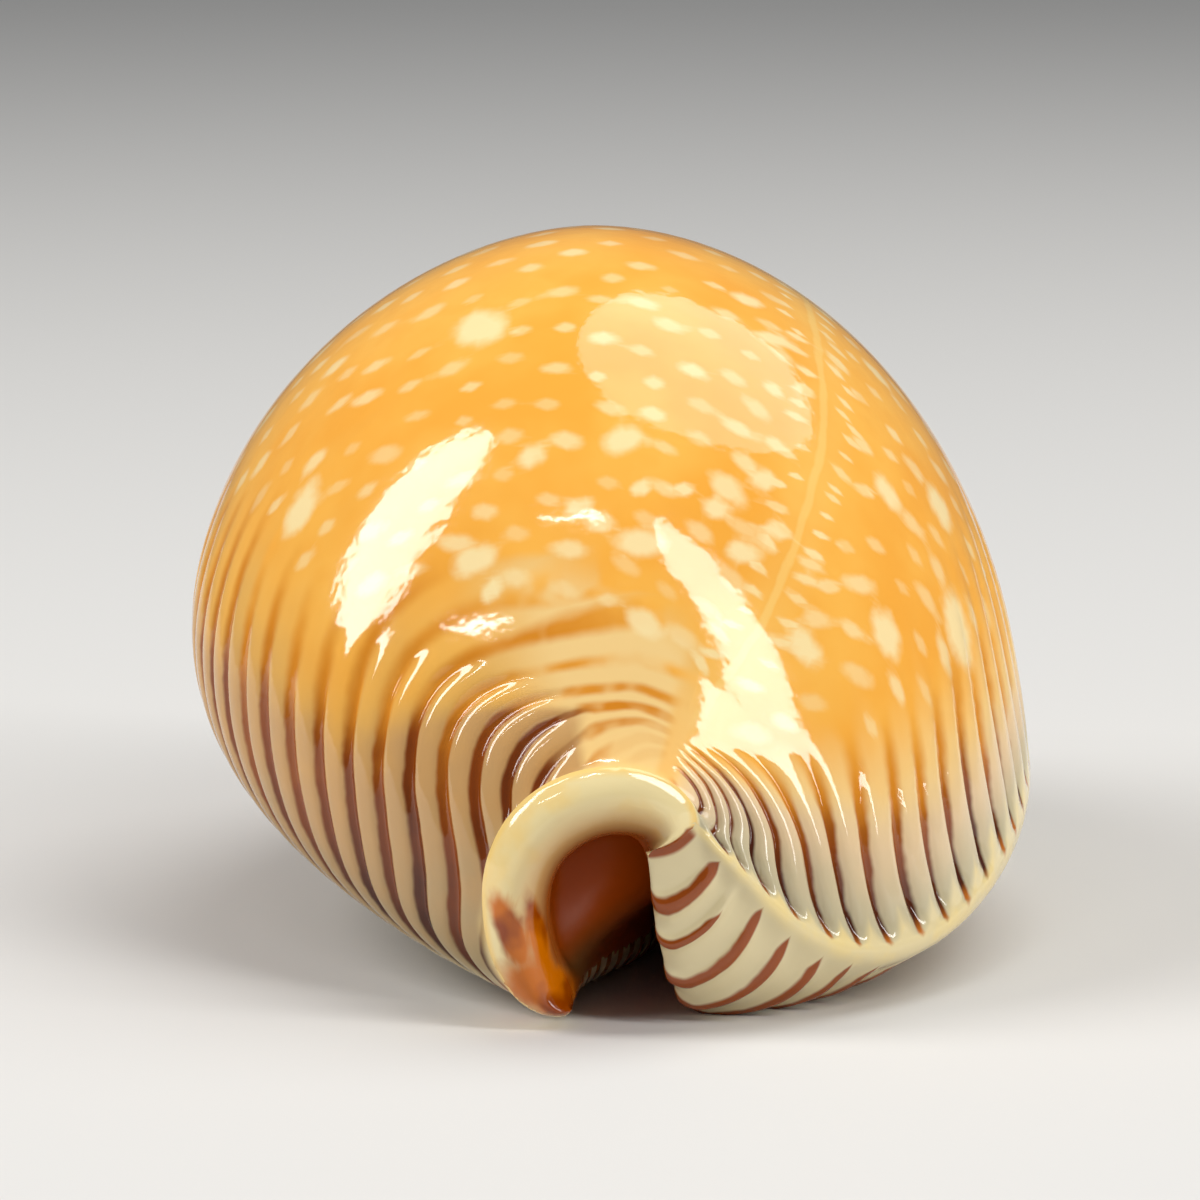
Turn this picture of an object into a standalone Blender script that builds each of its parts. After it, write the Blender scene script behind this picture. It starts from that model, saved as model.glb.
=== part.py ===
"""Great spotted cowry shell, one grown piece, resting on its base.

Frame: metres, +Z up. The blunt spire end faces -Y, the narrower front end faces +Y, and the
outer lip is on the +X side. The origin is at the middle of the base.

The shell is a thick sheet rolled round its long axis. Sixteen stations along it each hold five
points: the outer lip's edge, the outer lip's margin, the top, the inner side and the inner lip's
edge. Smooth curves run through them lengthwise, and quarter ovals join them round the shell.
"""
import math

import bmesh
import bpy
import numpy as np

MM = 0.001
LENGTH = 60.0            # mm, end to end
DRAWN_LENGTH = 60.0      # mm, the length at which the stations are written
TRIANGLES = 9400         # faces kept, before the flats are cut
ROWS = 230               # grid lines across the shell
COLUMNS = 132            # grid lines along it
BASE_CUT = 0.40          # mm worn off the lowest points, so that the shell stands on flats

# Five points at each station, in mm: outer lip, margin, top, inner side, inner lip.
STATIONS = (
    ((1.5, 0.9, 7.6), (3.6, 0.8, 8.9), (0.1, 0.3, 11.3), (-5.3, 1.2, 5.6), (-1.5, 1.8, 0.3)),
    ((1.6, 0.95, 7.2), (3.9, 0.9, 8.5), (0.3, 1.1, 11.1), (-5.3, 2.1, 5.9), (-1.5, 2.6, 0.2)),
    ((1.65, 1.0, 6.7), (4.4, 1.1, 7.9), (0.6, 1.9, 10.3), (-4.3, 3.1, 6.3), (-1.5, 3.3, 0.1)),
    ((1.75, 1.2, 5.5), (5.2, 1.5, 7.1), (1.0, 2.8, 11.6), (-6.1, 4.0, 6.9), (-1.4, 4.2, 0.1)),
    ((1.9, 1.6, 3.6), (6.5, 2.3, 5.5), (1.0, 3.7, 13.2), (-7.5, 5.1, 7.6), (-1.2, 5.4, 0.1)),
    ((2.5, 2.4, 0.8), (8.8, 3.7, 3.3), (0.9, 4.8, 15.5), (-9.8, 6.9, 8.3), (-0.8, 7.2, 0.1)),
    ((3.3, 5.0, -0.3), (12.0, 6.0, 2.3), (0.6, 7.2, 19.9), (-13.0, 10.2, 9.7), (0.4, 10.0, 0.0)),
    ((4.2, 10.0, -0.3), (15.3, 10.5, 3.2), (0.0, 11.5, 25.2), (-16.4, 15.0, 11.5), (1.8, 14.0, -0.1)),
    ((5.0, 17.0, -0.2), (17.9, 17.0, 5.5), (-0.5, 17.5, 29.3), (-18.5, 20.5, 12.7), (2.8, 19.5, -0.2)),
    ((5.2, 25.0, -0.2), (19.1, 25.0, 7.8), (-0.7, 25.0, 31.5), (-19.1, 27.0, 13.3), (3.0, 26.5, -0.2)),
    ((4.6, 34.0, -0.1), (17.7, 34.5, 8.8), (-0.7, 34.0, 29.9), (-17.9, 35.0, 13.1), (2.3, 35.0, -0.1)),
    ((3.3, 43.0, 0.1), (14.5, 43.5, 8.6), (-0.6, 43.0, 25.6), (-14.9, 43.0, 12.2), (1.0, 43.5, 0.1)),
    ((2.0, 50.0, 0.6), (10.4, 50.5, 7.9), (-0.4, 50.0, 20.0), (-10.8, 50.5, 10.3), (-0.8, 50.5, 0.6)),
    ((1.4, 55.0, 1.5), (6.6, 55.6, 7.2), (-0.2, 54.9, 14.8), (-6.9, 55.4, 8.4), (-1.9, 55.2, 1.4)),
    ((1.3, 58.0, 2.1), (4.8, 58.1, 6.6), (0.0, 57.4, 11.6), (-4.9, 58.0, 7.3), (-2.1, 58.0, 2.0)),
    ((1.4, 60.0, 2.7), (4.4, 59.8, 6.6), (0.0, 58.8, 10.9), (-4.4, 59.6, 7.2), (-2.2, 59.9, 2.5)),
)
LIP, MARGIN, TOP, SIDE, INNER_LIP = range(5)
LAST = len(STATIONS) - 1

# Fullness of each quarter oval, as (station, exponent of a superellipse).
FULL_LIP_BASE = ((0, 1.7), (5, 1.7), (8, 2.0), (15, 2.1))
FULL_LIP_SIDE = ((0, 2.0), (3, 1.8), (5, 1.7), (8, 1.93), (10, 1.95), (15, 2.0))
FULL_INNER_SIDE = ((0, 2.0), (4, 2.0), (6, 1.88), (8, 1.8), (10, 1.82), (15, 2.0))
FULL_INNER_BASE = ((0, 2.1), (4, 2.25), (8, 2.15), (15, 2.0))

# Where the five points stand round the section: 0 at the outer lip's edge, 1 at the inner lip's.
AT_ROLL = 0.05
AT_MARGIN = 0.25
AT_TOP = 0.5
AT_SIDE = 0.73
AT_POLE = 0.42           # the growth lines draw together here, above the spire canal
# How many stations each growth line is drawn back at the pole.
DRAW_BACK = (0, 0, 0, 0.1, 0.75, 1.45, 1.5, 1.0, 0.4, 0.1, 0, 0, 0, 0, 0, 0)
LIP_ROLL = (0.55, 1.3)   # mm, radius of the rolled lips at the ends and in the middle
LIP_ROLL_SHARE = 0.06    # of the shell's width

# The hollow that the animal lived in, between the outer wall and the earlier whorl.
WALL = 2.2               # mm
HOLLOW = 3.8             # mm between its curves' control points, where the shell is widest
FULL_WIDTH = 37.6        # mm, where the shell is widest
THROAT = (1.6, -2.5, 7.8)    # mm, right, left and top of the canals' throats
SETBACK = 1.4            # mm, how far the throat's outer-lip side lies behind the lip's edge
THROAT_START = 2.6       # stations, end of the flared rim
RIM_STEP = 0.25          # stations, the length over which the rim's direction is taken
RIM_ROUND = 2.6          # how far the rim rolls on past its edge, in such lengths
HOLLOW_START = (3.6, 6.4)    # stations, where the throat widens into the hollow

# Ribs and teeth.
LIP_PITCH = 1.9          # mm between ribs along the outer lip's margin
INNER_PITCH = 2.05       # mm between ribs along the inner side
RIB_GROOVE = 0.30        # mm
TOOTH_HEIGHT = 0.34      # mm
MARGIN_ROLL = 0.45       # mm, how far the margin's callus stands out
TOOTH_SLANT = 0.9        # stations by which a tooth runs on forward from the margin to the lip


def spline(points, place):
    """Uniform cubic B-spline through a row of control points, held at both ends."""
    net = np.asarray(points, float)
    net = np.concatenate([2 * net[:1] - net[1:2], net, 2 * net[-1:] - net[-2:-1]])
    place = np.clip(np.asarray(place, float), 0, len(net) - 3)
    start = np.minimum(place.astype(int), len(net) - 4)
    f = place - start
    f = f.reshape(f.shape + (1,) * (net.ndim - 1))
    before = (1 - f) ** 3 * net[start] + (3 * f**3 - 6 * f**2 + 4) * net[start + 1]
    after = (1 + 3 * f + 3 * f**2 - 3 * f**3) * net[start + 2] + f**3 * net[start + 3]
    return (before + after) / 6


def ramp(start, end, value):
    """0 before start, 1 after end, smooth between."""
    f = np.clip((value - start) / (end - start), 0, 1)
    return f * f * (3 - 2 * f)


def between(knots, place):
    return np.interp(place, [k[0] for k in knots], [k[1] for k in knots])


def quarter(upright, level, fullness, f):
    """Quarter oval from a point where it stands upright (f = 0) to one where it lies level."""
    angle = f * math.pi / 2
    across = np.cos(angle) ** (2 / fullness)
    up = np.sin(angle) ** (2 / fullness)
    x = level[..., 0] + (upright[..., 0] - level[..., 0]) * across
    y = upright[..., 1] + (level[..., 1] - upright[..., 1]) * np.sin(angle) ** 2
    z = upright[..., 2] + (level[..., 2] - upright[..., 2]) * up
    return np.stack([x, y, z], -1)


def lip_radii(t, rails):
    """Radii of the two rolled lips; the outer lip starts sharp where it leaves the canal's rim."""
    width = rails[..., MARGIN, 0] - rails[..., SIDE, 0]
    inner_lip = np.clip(LIP_ROLL_SHARE * width, *LIP_ROLL)[..., None]
    return inner_lip * ramp(-0.8, 3.0, t)[..., None], inner_lip


def roll(centre_low, radius, angle):
    """A point of the rolled lip: centre_low is the roll's lowest point."""
    turn = np.stack([np.cos(angle), np.zeros_like(angle), 1 + np.sin(angle)], -1)
    return centre_low + radius * turn


def outside(station, round_place):
    """The smooth outer surface, without its ribs."""
    t, v = np.broadcast_arrays(np.asarray(station, float), np.asarray(round_place, float))
    rails = spline(STATIONS, t)
    outer_radius, inner_radius = lip_radii(t, rails)
    sideways = np.array([1.0, 0.0, 0.0])
    low_right = rails[..., LIP, :] + sideways * outer_radius
    low_left = rails[..., INNER_LIP, :] - sideways * inner_radius
    margin, top, side = (rails[..., k, :] for k in (MARGIN, TOP, SIDE))
    quarters = (
        (v < AT_ROLL, roll(low_right, outer_radius, math.pi + 0.5 * math.pi * v / AT_ROLL)),
        (v < AT_MARGIN, quarter(margin, low_right, between(FULL_LIP_BASE, t),
                                np.clip((AT_MARGIN - v) / (AT_MARGIN - AT_ROLL), 0, 1))),
        (v < AT_TOP, quarter(margin, top, between(FULL_LIP_SIDE, t),
                             np.clip((v - AT_MARGIN) / (AT_TOP - AT_MARGIN), 0, 1))),
        (v < AT_SIDE, quarter(side, top, between(FULL_INNER_SIDE, t),
                              np.clip((AT_SIDE - v) / (AT_SIDE - AT_TOP), 0, 1))),
        (v < 1 - AT_ROLL, quarter(side, low_left, between(FULL_INNER_BASE, t),
                                  np.clip((v - AT_SIDE) / (1 - AT_ROLL - AT_SIDE), 0, 1))),
        (v <= 1, roll(low_left, inner_radius, 2 * math.pi - 0.5 * math.pi * (1 - v) / AT_ROLL)),
    )
    result = np.zeros(t.shape + (3,))
    left = np.ones(t.shape, bool)
    for here, points in quarters:
        use = left & here
        result[use] = points[use]
        left &= ~here
    return result


def growth_line(line, round_place):
    """The station that a growth line passes at a place round the shell."""
    s, v = np.broadcast_arrays(np.asarray(line, float), np.asarray(round_place, float))
    left = 1 - ramp(AT_POLE, 0.66, v)
    near = np.where(v < AT_POLE, ramp(0.28, AT_POLE, v), left)
    far = np.where(v < AT_POLE, ramp(0.34, AT_POLE, v), left)
    share = ramp(4.5, 7.5, s)
    drawn = s - spline(DRAW_BACK, s) * (near * (1 - share) + far * share)
    return drawn + TOOTH_SLANT * ramp(0.0, 2.0, s) * (1 - ramp(5.0, 8.0, s)) * (1 - ramp(0.02, AT_MARGIN, v))


def rail_length(rail):
    """Station places, and the length along one rail up to each."""
    places = np.linspace(0, LAST, 601)
    steps = np.linalg.norm(np.diff(spline(STATIONS, places)[:, rail], axis=0), axis=1)
    return places, np.concatenate([[0], np.cumsum(steps)])


def rib_distance(line, rail, pitch):
    """Distance to the nearest rib line, in ribs: 0 on a line and 0.5 halfway."""
    places, lengths = rail_length(rail)
    count = np.interp(line, places, lengths) / pitch
    return np.abs(count - np.round(count))


def relief(line, v):
    """Height of ribs, teeth and margin callus over the smooth surface, in mm."""
    at_lip = np.exp(-(rib_distance(line, MARGIN, LIP_PITCH) / 0.19) ** 2)
    at_inner = np.exp(-(rib_distance(line, SIDE, INNER_PITCH) / 0.19) ** 2)
    back = 1 - ramp(5.0, 8.0, line)                      # ribs reach the pole near the canal only
    past_rim = ramp(2.6, 3.4, line)
    front = 1 - ramp(13.2, 14.2, line)
    lip_side = ramp(0.245, 0.265, v) * (1 - ramp(0.31 + 0.05 * back, 0.36 + 0.05 * back, v))
    inner_side = ramp(0.66 - 0.12 * back, 0.73 - 0.12 * back, v) * (1 - ramp(0.86, 0.90, v))
    grooves = RIB_GROOVE * past_rim * front * (at_lip * lip_side + at_inner * inner_side)
    lip_teeth = ramp(0.0, 0.03, v) * (1 - ramp(0.13, 0.22, v)) * ramp(0.8, 1.8, line)
    inner_teeth = ramp(0.88, 0.93, v) * (1 - ramp(0.97, 1.0, v)) * ramp(6.0, 8.0, line)
    teeth = TOOTH_HEIGHT * front * (at_lip * lip_teeth + at_inner * inner_teeth)
    callus = MARGIN_ROLL * np.exp(-((v - 0.225) / 0.035) ** 2) * ramp(0.5, 2.5, line) * front
    return teeth + callus - grooves


def surface_normals(points):
    """Outward normals of a grid of surface points."""
    along = np.gradient(points, axis=0)
    around = np.gradient(points, axis=1)
    normal = np.cross(along, around)
    return normal / np.maximum(np.linalg.norm(normal, axis=2, keepdims=True), 1e-9)


def throat_ring(t, rails, edge_right, edge_left):
    """Control points of the narrow canal behind a flared end."""
    right, left, top = THROAT
    inward = np.where(t < LAST / 2, 1, -1)
    setback = SETBACK * ramp(0.3, 3.0, np.minimum(t, LAST - t))
    y = rails[..., TOP, 1]
    behind_lip = rails[..., LIP, 1] + inward * setback
    low = edge_right[..., 2]
    climb = top + 0.3 - low                             # from the lip's edge to the throat's top

    def at(x, depth, z):
        return np.stack(np.broadcast_arrays(x, depth, z), -1)

    right_side = [at(edge_right[..., 0], (behind_lip + edge_right[..., 1]) / 2, low + 0.15 * climb),
                  at(right, behind_lip, low + 0.69 * climb),
                  at(right - 0.4, (y + behind_lip) / 2, low + 0.9 * climb)]
    left_side = [at(left + 0.2, y, top - 1.0), at(left - 0.1, y, top - 3.2), at(left + 0.4, y, 2.6),
                 edge_left + np.array([0, 0, 0.6])]
    return [edge_right, *right_side, at((right + left) / 2, y, top + 0.3), *left_side, edge_left]


def hollow_ring(rails, edge_right, edge_left):
    """Control points of the hollow: out along the outer wall and back along the earlier whorl."""
    margin, top, side = (rails[..., k, :] for k in (MARGIN, TOP, SIDE))
    size = (rails[..., MARGIN, 0] - rails[..., SIDE, 0]) / FULL_WIDTH
    gap = HOLLOW * np.clip(size * 1.3, 0, 1)
    wall = np.full_like(size, WALL)
    rise = size[..., None] * np.array([0, 0, 2.2])

    def shifted(base, x, z):
        return base + np.stack([x, np.zeros_like(size), z], -1)

    return [edge_right, edge_right + rise, shifted(margin, -wall - 3.4 * size, 0.8 * size),
            shifted(margin, -wall, 8.0 * size), shifted(top, 2.0 * size, -wall),
            shifted(side, wall + 2.5 * size, 9.0 * size), shifted(top, 0.5 * size, -wall - gap),
            shifted(margin, -wall - gap - 0.6 * size, 6.5 * size), edge_left + rise, edge_left]


def inside(station, round_place):
    """The inner surface: flared rims, canals and the hollow."""
    t, w = np.broadcast_arrays(np.asarray(station, float), np.asarray(round_place, float))
    rails = spline(STATIONS, t)
    outer_radius, inner_radius = lip_radii(t, rails)
    upward = np.array([0.0, 0.0, 1.0])
    edge_right = rails[..., LIP, :] + upward * outer_radius
    edge_left = rails[..., INNER_LIP, :] + upward * inner_radius
    narrow = np.stack(throat_ring(t, rails, edge_right, edge_left))
    wide = np.stack(hollow_ring(rails, edge_right, edge_left))
    opened = (ramp(*HOLLOW_START, t) * (1 - ramp(LAST - 3.4, LAST - 1.8, t)))[..., None]
    net = narrow + (wide - narrow) * opened
    ring = np.empty(t.shape + (3,))
    for row in range(t.shape[0]):
        places = w[row] * (len(net) - 1)
        table = spline(np.moveaxis(net[:, row], 0, 0), places)
        ring[row] = table[np.arange(len(places)), np.arange(len(places))]
    near_end = np.minimum(t, LAST - t)
    rim_place = np.where(t < LAST / 2, 0.0, float(LAST))
    rim = outside(rim_place, w)
    past_rim = rim - outside(np.abs(rim_place - RIM_STEP), w)
    lean = (RIM_ROUND * (1 - np.exp(-near_end / (RIM_ROUND * RIM_STEP))))[..., None]
    rounded = rim + past_rim * lean
    lips = outside(t, w)                                # the lips' edges belong to both sheets
    apart = (np.clip(w / 0.1, 0, 1) * np.clip((1 - w) / 0.06, 0, 1))[..., None]
    depth = np.sin(0.5 * math.pi * np.clip(near_end / THROAT_START, 0, 1))[..., None]
    return (lips + (rounded - lips) * apart) * (1 - depth) + ring * depth


def row_places():
    """Station places of the grid's rows, evenly along the shell and closer on the rims."""
    places, margin = rail_length(MARGIN)
    side = rail_length(SIDE)[1]
    rim = 3.0 * (np.minimum(places, 0.8) + np.maximum(places - LAST + 0.8, 0))
    travelled = (margin + side) / 2 + rim
    return np.interp(np.linspace(0, travelled[-1], ROWS), travelled, places)


def sheet(bm, points):
    """A grid of faces moved onto the points."""
    rows, columns = points.shape[:2]
    made = bmesh.ops.create_grid(bm, x_segments=columns - 1, y_segments=rows - 1, size=1.0)
    flat = points.reshape(-1, 3) * (LENGTH / DRAWN_LENGTH)
    for vert, place in zip(made["verts"], flat):
        vert.co = place * MM
    for row, inward in ((0, 1), (rows - 1, -1)):        # corner faces are split outward from the corner
        for column, sideways in ((0, 1), (columns - 1, -1)):
            corner = made["verts"][row * columns + column]
            next_in = made["verts"][(row + inward) * columns + column + sideways]
            bmesh.ops.connect_vert_pair(bm, verts=[corner, next_in])


def surface_grids():
    """Grids of points, in mm, over the outer and the inner surface."""
    rows = row_places()[:, None]
    columns = np.linspace(0, 1, COLUMNS)[None, :]
    stations = growth_line(rows, columns)
    smooth = outside(stations, columns)
    lines = np.broadcast_to(rows, stations.shape)
    ends = np.minimum(1, np.minimum(lines, LAST - lines) / 0.3)
    height = (relief(lines, columns) * ends)[..., None]
    outer = smooth + surface_normals(smooth) * height
    outer[:, [0, -1]] = smooth[:, [0, -1]]
    inner = inside(stations, columns)
    for edge in (np.s_[0], np.s_[-1], np.s_[:, 0], np.s_[:, -1]):
        inner[edge] = outer[edge]                       # the two surfaces share their border
    return outer, inner


def build_shell():
    """One closed body from the outer and the inner surface."""
    bm = bmesh.new()
    for points in surface_grids():
        sheet(bm, points)
    bmesh.ops.remove_doubles(bm, verts=bm.verts, dist=1e-8)
    bmesh.ops.recalc_face_normals(bm, faces=bm.faces)
    mesh = bpy.data.meshes.new("shell")
    bm.to_mesh(mesh)
    bm.free()
    shell = bpy.data.objects.new("shell", mesh)
    bpy.context.collection.objects.link(shell)
    return shell


def lower_detail(shell):
    """Joins small faces until the solid is light enough, keeping the ribs."""
    faces = sum(len(p.vertices) - 2 for p in shell.data.polygons)
    thin = shell.modifiers.new("fewer faces", "DECIMATE")
    thin.ratio = TRIANGLES / faces
    thinned = shell.evaluated_get(bpy.context.evaluated_depsgraph_get())
    shell.data = bpy.data.meshes.new_from_object(thinned)
    shell.modifiers.clear()


def stand_on_flats(shell):
    """Cuts the lowest points off level, closes the cuts and puts the origin under the middle."""
    bm = bmesh.new()
    bm.from_mesh(shell.data)
    cut = min(v.co.z for v in bm.verts) + BASE_CUT * MM
    geometry = list(bm.verts) + list(bm.edges) + list(bm.faces)
    bmesh.ops.bisect_plane(bm, geom=geometry, dist=1e-7, plane_co=(0, 0, cut), plane_no=(0, 0, 1),
                           clear_inner=True)
    bmesh.ops.holes_fill(bm, edges=[e for e in bm.edges if e.is_boundary], sides=0)
    xs = [v.co.x for v in bm.verts]
    ys = [v.co.y for v in bm.verts]
    middle = ((min(xs) + max(xs)) / 2, (min(ys) + max(ys)) / 2, cut)
    bmesh.ops.translate(bm, verts=bm.verts, vec=[-c for c in middle])
    bm.to_mesh(shell.data)
    bm.free()


def glaze(shell):
    """Glossy orange enamel."""
    enamel = bpy.data.materials.new("spotted orange enamel")
    enamel.use_nodes = True
    surface = enamel.node_tree.nodes["Principled BSDF"]
    surface.inputs["Base Color"].default_value = (0.86, 0.44, 0.10, 1.0)
    surface.inputs["Roughness"].default_value = 0.12
    surface.inputs["Metallic"].default_value = 0.0
    shell.data.materials.append(enamel)


def main():
    for old in list(bpy.data.objects):
        bpy.data.objects.remove(old)
    shell = build_shell()
    lower_detail(shell)
    stand_on_flats(shell)
    shell.data.shade_smooth()
    glaze(shell)


main()
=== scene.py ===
import math

import bmesh
import bpy
import numpy as np
from mathutils import Matrix, Vector


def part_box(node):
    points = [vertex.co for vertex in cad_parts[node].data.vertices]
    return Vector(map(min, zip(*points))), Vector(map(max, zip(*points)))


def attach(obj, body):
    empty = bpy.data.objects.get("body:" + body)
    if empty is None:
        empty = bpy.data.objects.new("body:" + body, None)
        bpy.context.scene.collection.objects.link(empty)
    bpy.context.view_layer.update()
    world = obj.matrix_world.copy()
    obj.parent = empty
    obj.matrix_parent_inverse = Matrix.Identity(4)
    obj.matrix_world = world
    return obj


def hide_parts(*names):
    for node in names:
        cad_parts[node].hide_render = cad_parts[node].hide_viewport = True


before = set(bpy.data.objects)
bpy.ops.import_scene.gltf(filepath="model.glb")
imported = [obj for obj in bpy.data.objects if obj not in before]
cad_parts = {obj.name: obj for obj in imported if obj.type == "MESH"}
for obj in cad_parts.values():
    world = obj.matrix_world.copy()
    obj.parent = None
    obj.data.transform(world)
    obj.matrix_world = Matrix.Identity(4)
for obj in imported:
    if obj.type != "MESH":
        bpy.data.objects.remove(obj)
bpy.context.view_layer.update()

mm = 0.001

# The camera looks at the blunt spire end, a little from above.
photoCamera = {
    "target": (0.0, -5.8, 12.0),      # mm, a point in the middle of the spire end
    "targetSeenAt": (611, 655),       # pixels in the photo
    "photoSize": 1200,
    "elevation": 10.0,                # degrees
    "distance": 300.0,                # mm
    "lens": 200.0,
    "sensor": 36.0,
    "nearest": 0.01,                  # m, where the view starts
}


def cameraAxes():
    tilt = math.radians(photoCamera["elevation"])
    ahead = np.array([0.0, math.cos(tilt), -math.sin(tilt)])
    up = np.array([0.0, math.sin(tilt), math.cos(tilt)])
    return ahead, up


def addObject(name, data):
    made = bpy.data.objects.new(name, data)
    bpy.context.scene.collection.objects.link(made)
    return made


def makeCamera():
    data = bpy.data.cameras.new("endOnCamera")
    data.lens = photoCamera["lens"]
    data.sensor_width = photoCamera["sensor"]
    data.clip_start = photoCamera["nearest"]
    middle = photoCamera["photoSize"] / 2
    seenX, seenY = photoCamera["targetSeenAt"]
    data.shift_x = (middle - seenX) / photoCamera["photoSize"]
    data.shift_y = (seenY - middle) / photoCamera["photoSize"]
    camera = addObject("endOnCamera", data)
    ahead = Vector(cameraAxes()[0])
    camera.location = (Vector(photoCamera["target"]) - ahead * photoCamera["distance"]) * mm
    camera.rotation_euler = ahead.to_track_quat("-Z", "Y").to_euler()
    bpy.context.scene.camera = camera


# Where points of the shell, in mm, are seen in the photo, and whether they face its camera.
def photoPlace(points, normals):
    ahead, up = cameraAxes()
    offset = points - np.array(photoCamera["target"])
    away = offset @ ahead + photoCamera["distance"]
    zoom = photoCamera["lens"] / photoCamera["sensor"] * photoCamera["photoSize"] / away
    seenX, seenY = photoCamera["targetSeenAt"]
    return seenX + offset[..., 0] * zoom, seenY - (offset @ up) * zoom, normals @ ahead < 0


# The shell is a thick sheet rolled round its long axis. Each station along it holds five points in mm:
# outer lip's edge, outer lip's margin, top, inner side, inner lip's edge.
shellForm = {
    "stations": (
        ((1.5, 0.9, 7.6), (3.6, 0.8, 8.9), (0.1, 0.3, 11.3), (-5.3, 1.2, 5.6), (-1.5, 1.8, 0.3)),
        ((1.6, 0.95, 7.2), (3.9, 0.9, 8.5), (0.3, 1.1, 11.1), (-5.3, 2.1, 5.9), (-1.5, 2.6, 0.2)),
        ((1.65, 1.0, 6.7), (4.4, 1.1, 7.9), (0.6, 1.9, 10.3), (-4.3, 3.1, 6.3), (-1.5, 3.3, 0.1)),
        ((1.75, 1.2, 5.5), (5.2, 1.5, 7.1), (1.0, 2.8, 11.6), (-6.1, 4.0, 6.9), (-1.4, 4.2, 0.1)),
        ((1.9, 1.6, 3.6), (6.5, 2.3, 5.5), (1.0, 3.7, 13.2), (-7.5, 5.1, 7.6), (-1.2, 5.4, 0.1)),
        ((2.5, 2.4, 0.8), (8.8, 3.7, 3.3), (0.9, 4.8, 15.5), (-9.8, 6.9, 8.3), (-0.8, 7.2, 0.1)),
        ((3.3, 5.0, -0.3), (12.0, 6.0, 2.3), (0.6, 7.2, 19.9), (-13.0, 10.2, 9.7), (0.4, 10.0, 0.0)),
        ((4.2, 10.0, -0.3), (15.3, 10.5, 3.2), (0.0, 11.5, 25.2), (-16.4, 15.0, 11.5), (1.8, 14.0, -0.1)),
        ((5.0, 17.0, -0.2), (17.9, 17.0, 5.5), (-0.5, 17.5, 29.3), (-18.5, 20.5, 12.7), (2.8, 19.5, -0.2)),
        ((5.2, 25.0, -0.2), (19.1, 25.0, 7.8), (-0.7, 25.0, 31.5), (-19.1, 27.0, 13.3), (3.0, 26.5, -0.2)),
        ((4.6, 34.0, -0.1), (17.7, 34.5, 8.8), (-0.7, 34.0, 29.9), (-17.9, 35.0, 13.1), (2.3, 35.0, -0.1)),
        ((3.3, 43.0, 0.1), (14.5, 43.5, 8.6), (-0.6, 43.0, 25.6), (-14.9, 43.0, 12.2), (1.0, 43.5, 0.1)),
        ((2.0, 50.0, 0.6), (10.4, 50.5, 7.9), (-0.4, 50.0, 20.0), (-10.8, 50.5, 10.3), (-0.8, 50.5, 0.6)),
        ((1.4, 55.0, 1.5), (6.6, 55.6, 7.2), (-0.2, 54.9, 14.8), (-6.9, 55.4, 8.4), (-1.9, 55.2, 1.4)),
        ((1.3, 58.0, 2.1), (4.8, 58.1, 6.6), (0.0, 57.4, 11.6), (-4.9, 58.0, 7.3), (-2.1, 58.0, 2.0)),
        ((1.4, 60.0, 2.7), (4.4, 59.8, 6.6), (0.0, 58.8, 10.9), (-4.4, 59.6, 7.2), (-2.2, 59.9, 2.5)),
    ),
    # fullness of the quarter ovals between the points, as (station, exponent)
    "fullLipBase": ((0, 1.7), (5, 1.7), (8, 2.0), (15, 2.1)),
    "fullLipSide": ((0, 2.0), (3, 1.8), (5, 1.7), (8, 1.93), (10, 1.95), (15, 2.0)),
    "fullInnerSide": ((0, 2.0), (4, 2.0), (6, 1.88), (8, 1.8), (10, 1.82), (15, 2.0)),
    "fullInnerBase": ((0, 2.1), (4, 2.25), (8, 2.15), (15, 2.0)),
    # places round the section, 0 at the outer lip's edge and 1 at the inner lip's
    "atRoll": 0.05,
    "atMargin": 0.25,
    "atTop": 0.5,
    "atSide": 0.73,
    "atPole": 0.42,                   # growth lines draw together here, above the spire canal
    "drawBack": (0, 0, 0, 0.1, 0.75, 1.45, 1.5, 1.0, 0.4, 0.1, 0, 0, 0, 0, 0, 0),
    "drawnFrom": (0.28, 0.34),        # places where that starts, on the first lines and on the later ones
    "drawnTo": 0.66,
    "laterLines": (4.5, 7.5),
    "lipRoll": (0.55, 1.3),           # mm, thinnest and thickest lip
    "lipRollShare": 0.06,             # of the shell's width
    "lipRollStart": (-0.8, 3.0),      # stations over which the outer lip's edge gets its roll
    "railSamples": 601,
    "columnSamples": 401,
    "rows": 380,
    "columns": 230,
    # how much closer rows lie at the rims and near the camera, and over how many lines
    "closerAtRims": (3.0, 0.8),
    "closerInView": (0.5, 8.0),
    # how much closer columns lie on the lip and the inner base, and the places where that ends and starts
    "closerOnLip": (0.9, (0.24, 0.30)),
    "closerOnInnerBase": (0.5, (0.84, 0.90)),
    "triangles": 195000,              # after the inside is thinned
}
lip, margin, top, side, innerLip = range(5)
last = len(shellForm["stations"]) - 1


# A smooth curve, a cubic spline, read at places along it: 0 at its first point, 1 at its second.
def curveAt(points, place):
    net = np.asarray(points, float)
    net = np.concatenate([2 * net[:1] - net[1:2], net, 2 * net[-1:] - net[-2:-1]])
    place = np.clip(np.asarray(place, float), 0, len(net) - 3)
    start = np.minimum(place.astype(int), len(net) - 4)
    f = place - start
    f = f.reshape(f.shape + (1,) * (net.ndim - 1))
    before = (1 - f) ** 3 * net[start] + (3 * f**3 - 6 * f**2 + 4) * net[start + 1]
    after = (1 + 3 * f + 3 * f**2 - 3 * f**3) * net[start + 2] + f**3 * net[start + 3]
    return (before + after) / 6


# 0 up to the start, 1 from the end on, evenly between them.
def ramp(start, end, value):
    return np.clip((value - start) / (end - start), 0, 1)


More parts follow.
